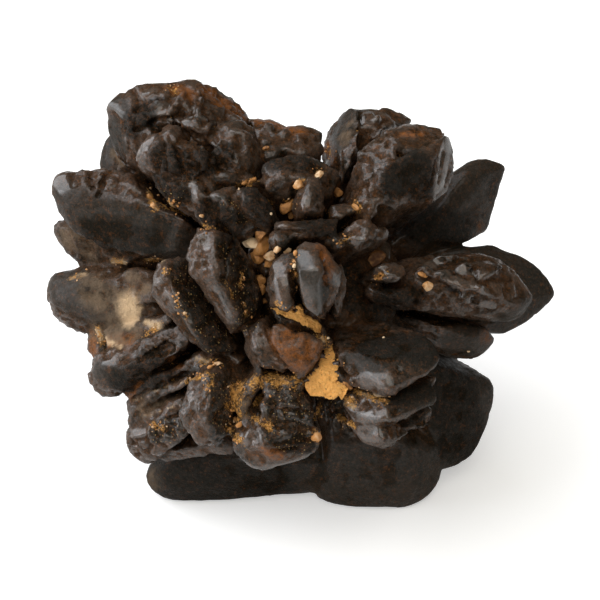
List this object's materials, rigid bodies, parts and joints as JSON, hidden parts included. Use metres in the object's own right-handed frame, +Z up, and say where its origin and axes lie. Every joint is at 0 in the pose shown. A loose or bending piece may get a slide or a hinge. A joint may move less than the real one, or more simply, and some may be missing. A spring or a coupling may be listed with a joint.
{
  "type": "prophecy stone",
  "caption": "Dark brown natural stone: a rosette of blunt iron-oxide blades grown together from one heart, with sandy soil in its clefts, standing on its worn lower blades.",
  "frame": {"origin": "under the middle of the stone's box, on the plane it stands on", "axes": "+Z up, +X to the right across the stone's longest side, the open face of the rosette looks towards -Y and up"},
  "size_m": [0.0382, 0.0286, 0.0298],
  "materials": {
    "iron_stone": "satin",
    "soil": "matte"
  },
  "bodies": {
    "root": {"blade_cluster": "iron_stone", "soil_wedge": "soil", "soil_seam": "soil", "soil_pocket": "soil"}
  },
  "joints": []
}
